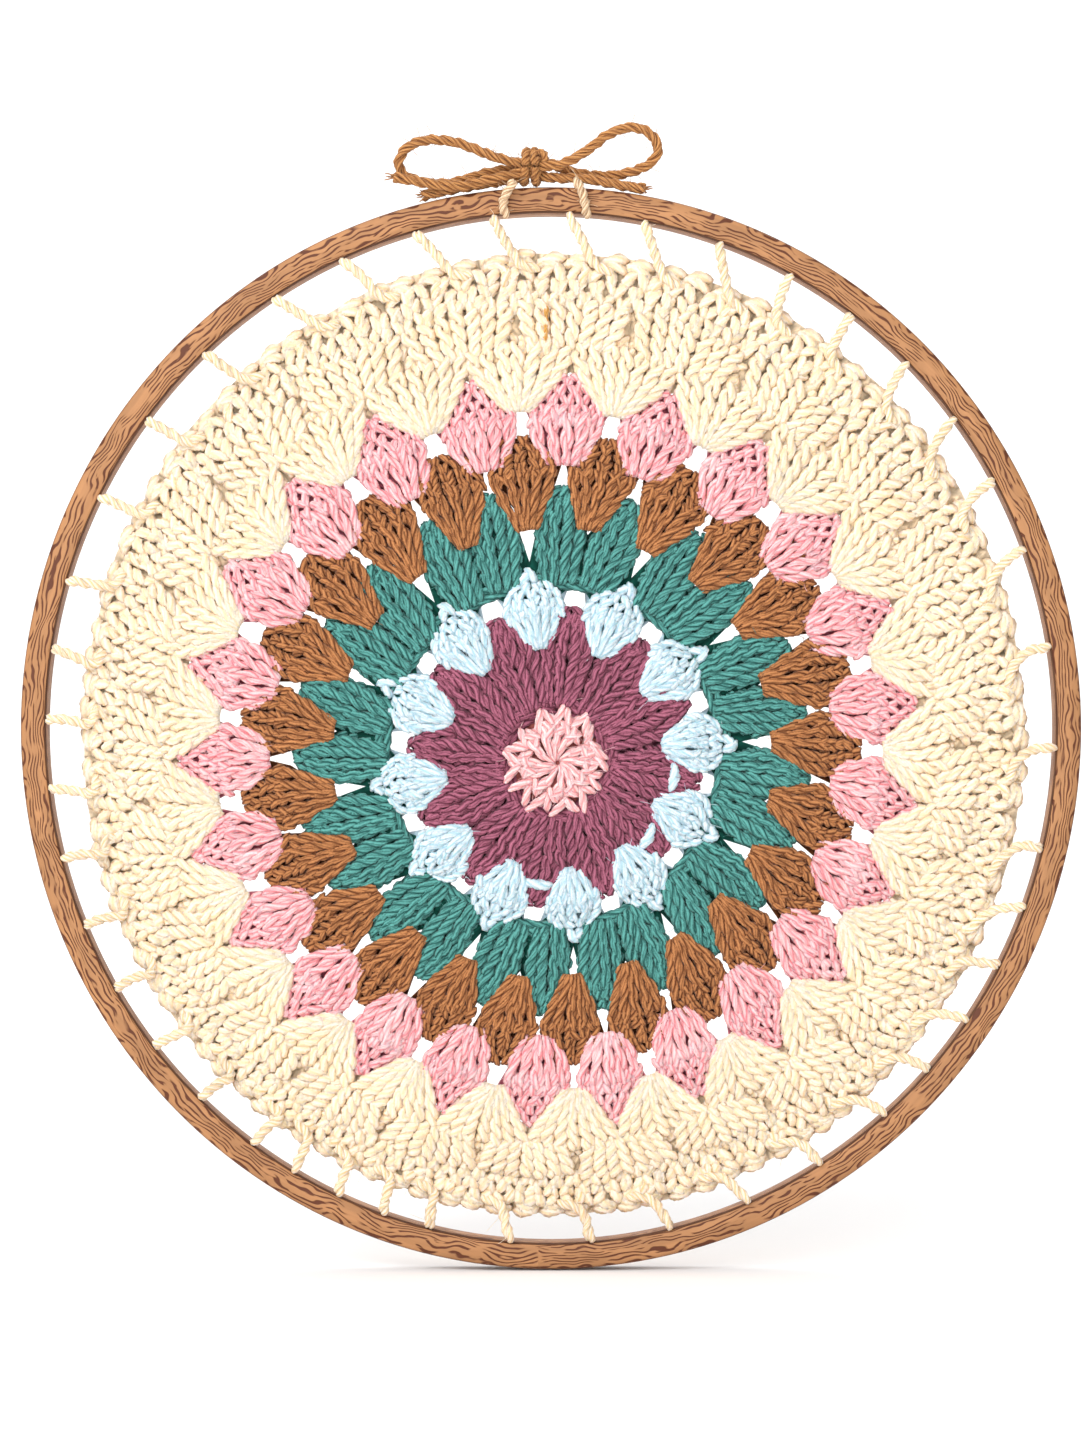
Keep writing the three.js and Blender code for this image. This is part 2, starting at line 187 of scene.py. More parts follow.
def wound(line, first, second, reach, turn):
    """A line moved by reach, at an angle of turn between two directions square to it."""
    return line + reach * (np.cos(turn)[:, None] * first + np.sin(turn)[:, None] * second)


def linked(name, data):
    """A new object in the scene."""
    piece = bpy.data.objects.new(name, data)
    bpy.context.scene.collection.objects.link(piece)
    return piece


def mesh_of(name, bm):
    """A mesh from a bmesh that is then done with."""
    mesh = bpy.data.meshes.new(name)
    bm.to_mesh(mesh)
    bm.free()
    return mesh


# Strands of yarn


class Skein:
    """Strands of one yarn, kept as arrays until they become one mesh."""

    def __init__(self, seed):
        self.rng = np.random.default_rng(seed)
        self.points, self.groove, self.tone = [], [], []
        self.quads, self.uvs, self.caps = [], [], []
        self.used = 0
        self.thickness = sizes().yarn_radius / (YARN_RADIUS * MM)

    def strand(self, path, radius, tone=None, pitch=12.0, plies=4, step=0.85, ends=0.55, relief=0.09):
        """A plied strand along path (millimetres). Its section turns as the plies do."""
        path = np.asarray(path, float)
        lengths = along(path)
        total = lengths[-1]
        if total < 0.5:
            return
        count = max(4, int(round(total / step)) + 1)
        at = np.linspace(0, total, count)
        line = points_at(path, at, lengths)
        if np.isscalar(radius):
            size = np.full(count, float(radius))
        else:
            size = np.interp(at / total, np.linspace(0, 1, len(radius)), radius)
        edge = np.minimum(1, np.minimum(at, total - at) / (1.1 * float(np.max(size))))
        size = size * (ends + (1 - ends) * np.sin(edge * math.pi / 2))
        tangent = np.gradient(line, axis=0)
        tangent /= np.linalg.norm(tangent, axis=1)[:, None] + 1e-12
        normal = np.empty_like(line)
        first = np.cross(tangent[0], [0.3, -0.2, 0.93])
        normal[0] = first / (np.linalg.norm(first) + 1e-12)
        for i in range(1, count):
            n = normal[i - 1] - tangent[i] * float(normal[i - 1] @ tangent[i])
            normal[i] = n / (np.linalg.norm(n) + 1e-12)
        side = np.cross(tangent, normal)
        sides = 2 * plies
        base = np.arange(sides) * 2 * math.pi / sides + self.rng.uniform(0, 6.28)
        angle = base[None, :] + (2 * math.pi / pitch * at)[:, None]
        crest = (np.arange(sides) % 2 == 0).astype(float)
        reach = size[:, None] * (1 - relief + 2 * relief * crest[None, :])
        ring = line[:, None, :] + reach[..., None] * (
            np.cos(angle)[..., None] * normal[:, None, :] + np.sin(angle)[..., None] * side[:, None, :]
        )
        self.points.append(ring.reshape(-1, 3))
        self.groove.append(np.tile(crest, count))
        shade = self.rng.normal(0, 0.5) if tone is None else tone
        self.tone.append(np.full(count * sides, shade))
        i, k = np.meshgrid(np.arange(count - 1), np.arange(sides), indexing="ij")
        after = (k + 1) % sides
        quad = [i * sides + k, i * sides + after, (i + 1) * sides + after, (i + 1) * sides + k]
        self.quads.append(self.used + np.stack(quad, -1).reshape(-1, 4))
        low, high = k / sides, (k + 1) / sides
        here, beyond = at[i] * 0.1, at[i + 1] * 0.1
        corners = ((here, low), (here, high), (beyond, high), (beyond, low))
        self.uvs.append(np.stack([np.stack(corner, -1) for corner in corners], -2).reshape(-1, 2))
        self.caps.append(self.used + np.arange(sides)[::-1])
        self.caps.append(self.used + (count - 1) * sides + np.arange(sides))
        self.used += count * sides

    def braid(self, place, u, v, d, radius, spread, turns, hand):
        """Two strands wound about one line, given in a motif's own millimetres."""
        fine = np.linspace(0, 1, 30)
        own = np.linspace(0, 1, len(u))
        u, v, d, spread = (np.interp(fine, own, a) for a in (u, v, d, spread))
        du, dv = np.gradient(u), np.gradient(v)
        size = np.hypot(du, dv) + 1e-9
        across_u, across_v = dv / size, -du / size
        phase = self.rng.uniform(0, 2 * math.pi)
        shade = self.rng.normal(0, 0.4)
        for strand in (0, math.pi):
            turn = phase + strand + hand * 2 * math.pi * turns * fine
            off = spread * np.cos(turn)
            line = place(u + across_u * off, v + across_v * off, d + 0.6 * spread * np.sin(turn))
            tone = shade + self.rng.normal(0, 0.2)
            self.strand(line, radius * self.thickness, tone, plies=3, step=0.95, ends=0.6)

    def ring(self, radius, depth, size, tone=-1.0):
        """One strand all the way round at a radius, with its ends side by side."""
        turns = np.linspace(0, 361.5, 220)
        # The tone is a little dark by default: painted shade where the ring lies under the clusters' feet.
        self.strand(stitch_points(radius, turns, depth), size, tone, plies=3, step=1.6)

    def leaf(self, place, a, b, radius, bow=0.6, dip=0.9, tone=None):
        """One fat spindle of yarn from a to b, each (u, v, depth), with its ends tucked under."""
        fine = np.linspace(0, 1, 9)
        a, b = np.array(a, float), np.array(b, float)
        line = a[None, :] + (b - a)[None, :] * fine[:, None]
        heading = (b - a)[:2] / (np.linalg.norm((b - a)[:2]) + 1e-9)
        hump = np.sin(fine * math.pi)
        line[:, 0] += -heading[1] * bow * hump
        line[:, 1] += heading[0] * bow * hump
        line[:, 2] += dip * (hump**0.7 - 1) + 0.15
        size = radius * self.thickness * (0.62 + 0.38 * hump**0.8)
        self.strand(place(line[:, 0], line[:, 1], line[:, 2]), size, tone, plies=3, ends=0.5, step=1.0)

    def hair(self, point, length):
        """One loose fibre that leaves the yarn at a point."""
        rng = self.rng
        heading = rng.normal(0, 1, 3) * [1, 0.5, 1] + np.array([0, -0.5, 0])
        heading /= np.linalg.norm(heading)
        bend = rng.normal(0, 0.6, 3)
        t = np.linspace(0, 1, 5)[:, None]
        path = point + rng.normal(0, 0.1, 3) + heading * length * t + bend * length * 0.5 * t**2
        self.strand(path, 0.055, tone=1.2, plies=2, step=length / 4, ends=0.4, relief=0.0, pitch=50)

    def make(self, name, material, slot, nodes=()):
        """One mesh of all the strands, riding on the frame and standing for its nodes."""
        points = np.concatenate(self.points) * MM
        quads = np.concatenate(self.quads)
        cap_sizes = np.array([len(c) for c in self.caps])
        loops = np.concatenate([quads.ravel(), np.concatenate(self.caps)])
        totals = np.concatenate([np.full(len(quads), 4), cap_sizes])
        starts = np.concatenate([[0], np.cumsum(totals)[:-1]])
        mesh = bpy.data.meshes.new(name)
        mesh.vertices.add(len(points))
        mesh.vertices.foreach_set("co", points.astype(np.float32).ravel())
        mesh.loops.add(len(loops))
        mesh.loops.foreach_set("vertex_index", loops.astype(np.int32))
        mesh.polygons.add(len(totals))
        mesh.polygons.foreach_set("loop_start", starts.astype(np.int32))
        mesh.polygons.foreach_set("loop_total", totals.astype(np.int32))
        mesh.polygons.foreach_set("use_smooth", np.ones(len(totals), bool))
        mesh.update(calc_edges=True)
        flat = np.concatenate([np.concatenate(self.uvs), np.zeros((int(cap_sizes.sum()), 2))])
        mesh.uv_layers.new(name="strand").data.foreach_set("uv", flat.astype(np.float32).ravel())
        for label, values in (("groove", self.groove), ("tone", self.tone)):
            layer = mesh.attributes.new(label, "FLOAT", "POINT")
            layer.data.foreach_set("value", np.concatenate(values).astype(np.float32))
        mesh.validate()
        mesh.materials.append(material)
        piece = linked(name, mesh)
        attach(piece, BODY)
        if nodes:
            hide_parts(*nodes)
        return piece


def lay_at(radius):
    """The shift in x and z, the twist and the crowding of the rounds at a radius."""
    return [np.interp(radius, LAY[:, 0], LAY[:, i]) for i in range(1, 5)]


def oval_points(x0, z0, radius, angle, depth):
    """Points in millimetres about a shifted centre, as oval as the hoop."""
    turned = np.radians(angle)
    x = x0 + radius * np.sin(turned)
    z = (z0 + radius * np.cos(turned)) * OVAL - HOOP_TOP
    return np.stack(np.broadcast_arrays(x, -np.asarray(depth, float), z), -1)


def stitch_points(radius, angle, depth):
    """Points of the mandala, from radius, clockwise angle and depth."""
    x0, z0, twist, crowd = lay_at(radius)
    return oval_points(x0, z0, radius, angle + twist + crowd * np.sin(np.radians(angle)), depth)


def hoop_points(radius, angle, depth, share):
    """Points that keep their angle about the hoop, moved by share of the crochet's own shift."""
    x0, z0 = lay_at(radius)[:2]
    return oval_points(share * x0, share * z0, radius, angle, depth)


def route_points(route):
    """A smooth line through a route of the bow, in millimetres."""
    knots = np.array([(x, -depth, z - HOOP_TOP) for x, depth, z in route], float)
    padded = np.vstack([2 * knots[0] - knots[1], knots, 2 * knots[-1] - knots[-2]])
    out = []
    for p0, p1, p2, p3 in zip(padded, padded[1:], padded[2:], padded[3:]):
        square, cube = 2 * p0 - 5 * p1 + 4 * p2 - p3, 3 * p1 - p0 - 3 * p2 + p3
        for t in np.linspace(0, 1, 8, endpoint=False):
            out.append(0.5 * (2 * p1 + (p2 - p0) * t + square * t**2 + cube * t**3))
    out.append(knots[-1])
    return np.array(out)


def motif(turn, foot, tilt=0.0, shift=(0.0, 0.0)):
    """Turns a motif's own sideways and outward millimetres and depth into points of the mandala."""
    c, s = math.cos(tilt), math.sin(tilt)

    def place(u, v, d):
        side = shift[0] + u * c + v * s
        out = foot + shift[1] - u * s + v * c
        return stitch_points(out, turn + np.degrees(side / np.maximum(out, 6.0)), d)

    return place


def jittered(rng, turn, foot, tilt=0.0, side=0.0, amount=1.0):
    """A motif a little off its place, as handwork is."""
    shift = (side + rng.normal(0, 0.22) * amount, rng.normal(0, 0.25) * amount)
    return motif(turn + rng.normal(0, 0.1) * amount, foot, tilt + rng.normal(0, 0.025) * amount, shift)


def clusters(skein, count, foot, first=0.0):
    """The places of a round's clusters, even steps apart and each a little off."""
    for i in range(count):
        yield jittered(skein.rng, FIRST_TURN + first + 360 / count * i, foot)


class Shape:
    """A motif's outline as (height, half width) rows, its depths along it and its fall to the sides."""

    def __init__(self, outline, depths, fall):
        self.heights, self.widths = (np.array(c, float) for c in zip(*outline))
        self.reach = self.heights[-1]
        self.depths = depths
        self.fall = fall

    def half(self, v):
        return np.interp(v, self.heights, self.widths)

    def level(self, v, t):
        rise = np.interp(v, np.linspace(0, self.reach, len(self.depths)), self.depths)
        return rise - self.fall * np.square(t)


def posts(skein, place, shape, count, top, turns, radius=1.0):
    """Twisted posts that spread from one foot."""
    rng = skein.rng
    for j in range(count):
        t = (2 * j + 1) / count - 1
        end = top * shape.reach * (1 - 0.06 * t * t) + rng.normal(0, 0.25)
        v = np.linspace(0, end, 12)
        room = shape.half(v)
        u = t * np.maximum(room - 0.2, 0.25) + rng.normal(0, 0.12)
        spread = np.clip(room / count - 0.75, 0.25, 1.15)
        twist = turns * end / 14 + rng.normal(0, 0.12)
        skein.braid(place, u, v, shape.level(v, t), radius, spread, twist, 1 if t <= 0 else -1)


def rows(skein, place, shape, cell, length, lift, bottom=0.0, pitch=2.2, radius=1.0):
    """Rows of paired slanting stitches, as many to a row as the outline is wide there."""
    rng = skein.rng
    v = bottom * shape.reach
    number = 0
    while v < shape.reach - 1.0:
        half = float(shape.half(v + 0.3 * length))
        count = max(1, int(round(2 * half / cell)))
        above = min(v + length * 0.78, shape.reach - 0.2)
        wide = float(shape.half(above))
        width = 2 * half / count
        for j in range(count):
            t = (2 * j + 1) / count - 1
            low, high = (float(shape.level(at, t)) + lift for at in (v, above))
            size = min(radius, 0.3 * width + 0.25) * rng.uniform(0.92, 1.1)
            lean = rng.normal(0, 0.1) * width
            for sign in (-1, 1) if (j + number) % 2 else (1, -1):
                nudge = rng.normal(0, 0.2, 4)
                out = sign * width * 0.46 * (1 - 0.35 * abs(t))
                a = (t * half + out + nudge[0] - lean, v + nudge[1], low - 0.35)
                b = (t * wide + sign * width * 0.08 + lean, above + nudge[2], high + 0.1 + 0.7 * nudge[3])
                skein.leaf(place, a, b, size, bow=-sign * 0.35, dip=0.6, tone=rng.normal(0, 0.6))
        v += pitch
        number += 1


def fluff(skein, count, onto=None):
    """Loose fibres on strands picked at random, in the same skein or in another one."""
    total = int(count * sizes().fibres)
    blocks = [b for b in skein.points if len(b) > 20]
    for i in skein.rng.integers(0, len(blocks), total):
        block = blocks[i]
        point = block[skein.rng.integers(0, len(block))]
        (onto or skein).hair(point, skein.rng.uniform(1.2, 3.4))


# Finishes


class Finish:
    """A material under way, with a short call for each kind of node it takes."""

    def __init__(self, name, roughness, specular=0.5):
        self.material = bpy.data.materials.new(name)
        self.material.use_nodes = True
        tree = self.material.node_tree
        self.nodes, self.links = tree.nodes, tree.links
        self.shader = self.nodes["Principled BSDF"]
        self.fill(self.shader, Roughness=roughness, Specular_IOR_Level=specular)
        coords = self.nodes.new("ShaderNodeTexCoord")
        self.uv, self.object = coords.outputs["UV"], coords.outputs["Object"]

    def feed(self, socket, value):
        """Links a socket to another one, or gives it a constant."""
        if isinstance(value, bpy.types.NodeSocket):
            self.links.new(value, socket)
        elif socket.type == "RGBA":
            socket.default_value = (*value[:3], 1)
        else:
            socket.default_value = value

    def fill(self, node, **inputs):
        """Feeds a node's inputs by name, with _ for each space."""
        for name, value in inputs.items():
            self.feed(node.inputs[name.replace("_", " ")], value)
        return node

    def node(self, kind, **inputs):
        return self.fill(self.nodes.new("ShaderNode" + kind), **inputs)

    def parts(self, vector):
        return self.node("SeparateXYZ", Vector=vector).outputs

    def noise(self, vector, scale, detail=2.0, distortion=0.0):
        node = self.node("TexNoise", Vector=vector, Scale=scale, Detail=detail, Distortion=distortion)
        return node.outputs["Fac"]

    def streaks(self, along_scale, across_scale, scale, detail, distortion=0.0):
        """Noise drawn out along a strand or round the ring."""
        drawn = self.node("Mapping", Vector=self.uv, Scale=(along_scale, across_scale, 1.0))
        return self.noise(drawn.outputs[0], scale, detail, distortion)

    def attribute(self, name):
        node = self.node("Attribute")
        node.attribute_name = name
        return node.outputs["Fac"]

    def maths(self, operation, first, second=0.0):
        node = self.node("Math")
        node.operation = operation
        self.feed(node.inputs[0], first)
        self.feed(node.inputs[1], second)
        return node.outputs[0]

    def add(self, first, second):
        return self.maths("ADD", first, second)

    def times(self, first, second):
        return self.maths("MULTIPLY", first, second)

    def reach(self, x, z):
        """How far a place lies from the middle."""
        return self.maths("SQRT", self.add(self.times(x, x), self.times(z, z)))

    def wander(self, noise, size):
        """Noise made a shift to either side."""
        return self.times(self.maths("SUBTRACT", noise, 0.5), size)

    def ranged(self, value, low, high, least, most):
        """A value between low and high, moved to lie between least and most."""
        node = self.node("MapRange", Value=value, From_Min=low, From_Max=high, To_Min=least, To_Max=most)
        return node.outputs[0]

    def ramp(self, value, *stops):
        """Grey tones for a value, from (place, tone) stops."""
        node = self.node("ValToRGB")
        elements = node.color_ramp.elements
        while len(elements) < len(stops):
            elements.new(0.5)
        for element, (place, shade) in zip(elements, stops):
            element.position = place
            element.color = (shade, shade, shade, 1)
        self.links.new(value, node.inputs[0])
        return node.outputs[0]

    def mix(self, factor, low, high, blend="MIX"):
        node = self.node("Mix")
        node.data_type = "RGBA"
        node.blend_type = blend
        for index, value in ((0, factor), (6, low), (7, high)):
            self.feed(node.inputs[index], value)
        return node.outputs[2]

    def shaded(self, colour, tone, factor=1.0):
        return self.mix(factor, colour, tone, "MULTIPLY")

    def relief(self, height, strength, distance):
        """Bumps the surface by a height."""
        bump = self.node("Bump", Height=height, Strength=strength, Distance=distance)
        self.links.new(bump.outputs[0], self.shader.inputs["Normal"])
        return bump

    def coloured(self, colour):
        self.links.new(colour, self.shader.inputs["Base Color"])
        return self.material


def yarn_material(name, light, dark, blush=None, soft=0.0):
    """Soft plied yarn: fine lines along its plies, painted shade between them, uneven strand to strand."""
    finish = Finish(name, 0.85, 0.2)
    finish.fill(finish.shader, Sheen_Weight=0.08, Sheen_Roughness=0.5)
    if soft:
        scatter = {"Subsurface_Radius": (1.0, 0.6, 0.4), "Subsurface_Scale": 0.0012}
        finish.fill(finish.shader, Subsurface_Weight=soft, **scatter)
    # Painted shade: the grooves of the strand take the dark colour.
    groove = finish.ramp(finish.attribute("groove"), (0.0, 0.0), (0.4, 0.8), (0.75, 1.0), (1.0, 0.9))
    fibre = finish.streaks(9.0, 7.0, 3.0, 3.0)
    strand = finish.parts(finish.uv)
    phase = finish.add(finish.times(strand[1], 6 * math.tau), finish.times(strand[0], 14.0))
    waves = finish.maths("SINE", finish.add(phase, finish.times(fibre, 5.0)))
    plies = finish.ranged(waves, -1.0, 0.1, 0.0, 1.0)
    # Painted shade: the lines between the plies take a colour between light and dark.
    between = tuple(0.45 * a + 0.55 * b for a, b in zip(light, dark))
    colour = finish.mix(groove, dark, finish.mix(plies, between, light))
    colour = finish.shaded(colour, finish.ranged(finish.attribute("tone"), -1.5, 1.5, 0.86, 1.08))
    colour = finish.shaded(colour, finish.ramp(fibre, (0.3, 0.88), (0.7, 1.08)), 0.8)
    if blush:
        patches = finish.ramp(finish.noise(finish.object, 120.0), (0.52, 0.0), (0.68, 0.22))
        colour = finish.mix(patches, colour, blush)
    finish.relief(finish.add(fibre, finish.times(plies, 0.6)), 0.4, 0.0003)
    return finish.coloured(colour)


def ground_material(name, shade, yarn):
    """The stitches' back in slanting loops, painted shade in front, the yarn's colour mixed in behind."""
    band_width, column, loop = 0.0105, 0.0036, 0.0034
    finish = Finish(name, 0.95, 0.1)
    place = finish.parts(finish.object)
    x = finish.maths("SUBTRACT", place[0], MIDDLE_X * MM)
    z = finish.add(place[2], (HOOP_TOP - MIDDLE_Z * OVAL) * MM)
    wander = finish.wander(finish.noise(finish.object, 120.0), 0.003)
    reach = finish.add(finish.reach(x, z), wander)
    band = finish.add(finish.maths("FLOOR", finish.maths("DIVIDE", reach, band_width)), 0.5)
    count = finish.maths("ROUND", finish.times(band, band_width * math.tau / column))
    turn = finish.add(finish.maths("DIVIDE", finish.maths("ARCTAN2", x, z), math.tau), wander)
    cell = finish.maths("FRACT", finish.times(turn, count))
    post = finish.maths("SINE", finish.times(cell, math.pi))
    slant = finish.times(finish.maths("ABSOLUTE", finish.maths("SUBTRACT", cell, 0.5)), 1.1)
    turns = finish.times(finish.add(finish.maths("DIVIDE", reach, loop), slant), math.tau)
    height = finish.times(post, finish.add(finish.times(finish.maths("SINE", turns), 0.36), 0.64))
    fibre = finish.noise(finish.object, 900.0)
    # The far side takes the mean of the yarn's colour and the painted shade, the near side the painted shade
    # alone.
    back = finish.times(finish.add(place[1], 4.1 * MM), 1500.0)
    behind = finish.ramp(back, (0.2, 0.0), (0.8, 1.0))
    colour = finish.mix(behind, shade, tuple((a + b) / 2 for a, b in zip(shade, yarn)))
    # Painted shade: darker between the loops.
    loops = finish.ramp(height, (0.05, 0.5), (0.4, 0.9), (0.9, 1.08))
    tone = finish.shaded(loops, finish.ramp(fibre, (0.3, 0.82), (0.7, 1.08)))
    finish.relief(finish.add(height, finish.times(fibre, 0.3)), 0.9, 0.0011)
    return finish.coloured(finish.shaded(colour, tone))


def wood_material(name, plain, grain_and_rim_shade):
    """Tan wood, grouped wavy dark lines along the ring, plain patches, painted shade at the inner rim."""
    line_pitch = 0.0009
    finish = Finish(name, 0.55, 0.3)
    wander = finish.wander(finish.streaks(95.0, 190.0, 1.0, 1.5), 0.0062)
    across = finish.times(finish.add(finish.parts(finish.uv)[1], wander), math.tau / line_pitch)
    lines = finish.ramp(finish.maths("SINE", across), (0.15, 0.0), (0.6, 1.0))
    broken = finish.ramp(finish.streaks(190.0, 900.0, 1.0, 1.0), (0.38, 0.0), (0.45, 1.0))
    groups = finish.ramp(finish.streaks(85.0, 160.0, 1.0, 1.0), (0.34, 0.0), (0.39, 1.0))
    mask = finish.shaded(finish.shaded(lines, broken), groups)
    tone = finish.ramp(finish.streaks(60.0, 500.0, 1.0, 3.0, 0.4), (0.3, 0.84), (0.7, 1.14))
    colour = finish.mix(mask, finish.shaded(plain, tone), grain_and_rim_shade)
    place = finish.parts(finish.object)
    rise = finish.maths("DIVIDE", finish.add(place[2], HOOP_TOP * MM), OVAL)
    reach = finish.reach(place[0], rise)
    # Painted shade: the front's inner edge, where the inner wall falls into shade, darkened towards the grain
    # colour.
    front = finish.maths("LESS_THAN", place[1], -7.9 * MM)
    inner = finish.times(finish.maths("LESS_THAN", reach, (INNER_RADIUS + 0.45) * MM), front)
    # Darker towards the outer wall.
    outer = finish.maths("GREATER_THAN", reach, (OUTER_RADIUS - 0.3) * MM)
    colour = finish.mix(finish.times(inner, 0.85), colour, tuple(c * 0.5 for c in grain_and_rim_shade))
    colour = finish.mix(finish.times(outer, 0.45), colour, grain_and_rim_shade)
    finish.relief(mask, 0.5, 0.0003).invert = True
    return finish.coloured(colour)


def paper_material(name):
    """The studio's pale paper, with a faint unevenness."""
    finish = Finish(name, 0.9)
    haze = finish.ramp(finish.noise(finish.object, 3.0), (0.3, 0.985), (0.7, 1.0))
    return finish.coloured(finish.shaded((0.93, 0.93, 0.93), haze))


# Sizes and colours a user would change


def linear(red, green, blue):
    """A colour picked in display values, as the shader wants it."""
    return tuple(((c / 255 + 0.055) / 1.055) ** 2.4 if c > 10 else c / 3294 for c in (red, green, blue))


def colour_prop(name, description, rgb):
    return bpy.props.FloatVectorProperty(
        name=name, description=description, default=linear(*rgb), subtype="COLOR", size=3, min=0, max=1
    )


def length_prop(name, description, size, least, most):
    return bpy.props.FloatProperty(
        name=name, description=description, default=size * MM, min=least * MM, max=most * MM,
        unit="LENGTH", precision=5,
    )


class CrochetColours(bpy.types.PropertyGroup):
    coral: colour_prop("Coral", "Yarn of the pointed middle", (253, 216, 214))
    plum: colour_prop("Plum", "Yarn of the spiked round", (174, 102, 124))
    pale_blue: colour_prop("Pale blue", "Yarn of the egg-shaped clusters", (225, 232, 236))
    teal: colour_prop("Teal", "Yarn of the two-pointed shells", (95, 165, 157))
    brown: colour_prop("Brown", "Yarn of the barrel clusters", (190, 128, 80))
    pink: colour_prop("Pink", "Yarn of the drop-shaped clusters", (248, 200, 201))
    cream: colour_prop("Cream", "Yarn of the outer rounds", (248, 229, 211))
    twine: colour_prop("Twine", "Twine of the bow", (201, 144, 88))
    wood: colour_prop("Wood", "Wood of the hoop", (168, 119, 78))


class CrochetSizes(bpy.types.PropertyGroup):
    yarn_radius: length_prop("Yarn radius", "Half the thickness of the crochet yarn", YARN_RADIUS, 0.5, 2)
    twine_diameter: length_prop("Twine diameter", "Thickness of the bow's twine", 2.4, 1, 4)
    hoop_steps: bpy.props.IntProperty(
        name="Hoop steps", description="How many steps the ring is turned in", default=256, min=64, max=512
    )
    fibres: bpy.props.FloatProperty(
        name="Loose fibres", description="How fluffy the yarn is", default=1.0, min=0.0, max=2.0,
        subtype="FACTOR",
    )


def colours():
    return bpy.context.scene.crochet_colours


def sizes():
    return bpy.context.scene.crochet_sizes


def finish_round(skein, key, fibres, dark, blush=None, soft=0.0):
    """Roughens a worked round and makes it one piece in its own yarn."""
    fluff(skein, fibres)
    light = tuple(getattr(colours(), key))
    # dark is the painted shade in the yarn's grooves and between its plies.
    material = yarn_material(key + "_yarn", light, linear(*dark), blush, soft)
    skein.make("crochet_" + key, material, "yarn_" + key, ["round_" + key])


# Pieces


class CROCHET_OT_hoop(bpy.types.Operator):
    """Turns the wooden hoop"""

    bl_idname = "crochet.hoop"
    bl_label = "Wooden Hoop"

    def execute(self, context):
        bm = bmesh.new()
        ring = [bm.verts.new((r * MM, -depth * MM, 0)) for r, depth in HOOP_SECTION]
        edges = [bm.edges.new((a, b)) for a, b in zip(ring, ring[1:] + ring[:1])]
        turned = {"cent": (0, 0, 0), "axis": (0, 1, 0), "angle": math.tau, "steps": sizes().hoop_steps}
        bmesh.ops.spin(bm, geom=ring + edges, use_merge=True, **turned)
        bmesh.ops.remove_doubles(bm, verts=bm.verts, dist=1e-6)
        bmesh.ops.recalc_face_normals(bm, faces=bm.faces)
        layer = bm.loops.layers.uv.new("ring")
        mean_radius = (INNER_RADIUS + OUTER_RADIUS) / 2 * MM
        for face in bm.faces:
            face.smooth = True
            turns = [math.atan2(loop.vert.co.x, loop.vert.co.z) for loop in face.loops]
            low = min(turns)
            for loop, turn in zip(face.loops, turns):
                if max(turns) - low > math.pi and turn < 0:
                    turn += math.tau
                reach = math.hypot(loop.vert.co.x, loop.vert.co.z)
                loop[layer].uv = (turn * mean_radius, reach - loop.vert.co.y)
        bmesh.ops.transform(bm, matrix=Matrix.Diagonal((1, 1, OVAL, 1)), verts=bm.verts)
        bmesh.ops.translate(bm, vec=Vector((0, 0, -HOOP_TOP * MM)), verts=bm.verts)
        mesh = mesh_of("wooden_hoop", bm)
        # The dark colour serves the grain lines and the painted shade at the inner rim.
        mesh.materials.append(wood_material("hoop_wood", tuple(colours().wood), linear(90, 46, 24)))
        piece = linked("wooden_hoop", mesh)
        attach(piece, BODY)
        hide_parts("hoop")
        return {"FINISHED"}


class CROCHET_OT_coral(bpy.types.Operator):
    """Works the pointed coral middle"""

    bl_idname = "crochet.coral"
    bl_label = "Coral Middle"

    def execute(self, context):
        skein = Skein(11)
        rng = skein.rng
        swirl = np.linspace(0, 1, 12)
        radius = 0.6 + swirl * 8.2
        depth = 5.7 + 0.8 * np.sin(swirl * math.pi) - 1.0 * (1 - swirl) ** 4
        size = 0.4 + 0.62 * np.sin(np.clip(swirl * 1.2, 0, 1) * math.pi / 2)
        for i in range(INNER_COUNT):
            turn = FIRST_TURN + 30 * i + rng.normal(0, 2.5)
            angle = turn - 30 * (1 - swirl) ** 1.4
            twist = rng.uniform(0, 6.28) + swirl * 7.5
            for side in (0, math.pi):
                off = angle + 6.5 * swirl**0.7 * np.cos(twist + side)
                line = stitch_points(radius, off, depth + 0.35 * np.sin(twist + side))
                skein.strand(line, size, step=0.6, plies=3)
            place = jittered(rng, turn + rng.normal(0, 2), 7.2, rng.normal(0, 0.22), amount=0.6)
            tip = 5.6 + rng.uniform(-1.0, 1.7)
            for a, b, thick in (
                ((-3.1, -0.8, 5.3), (-1.7, tip - 2.6, 5.3), 1.0),
                ((3.1, -0.6, 5.3), (1.8, tip - 2.3, 5.3), 1.0),
                ((-2.3, 0.0, 5.9), (-0.1, tip, 5.7), 1.05),
                ((2.2, 0.4, 5.9), (0.6, tip - 0.9, 5.8), 1.05),
                ((-1.9, -1.7, 6.6), (1.3, 1.3, 6.7), 0.98),
                ((1.8, -1.0, 6.5), (-0.9, 2.3, 6.5), 0.98),
            ):
                nudge = rng.normal(0, 0.25, 4)
                a = (a[0] + nudge[0], a[1] + nudge[1], a[2])
                b = (b[0] + nudge[2], b[1] + nudge[3], b[2])
                skein.leaf(place, a, b, thick, bow=rng.uniform(-0.5, 0.5), dip=0.5)
        finish_round(skein, "coral", 160, (226, 132, 134), soft=SOFT)
        return {"FINISHED"}


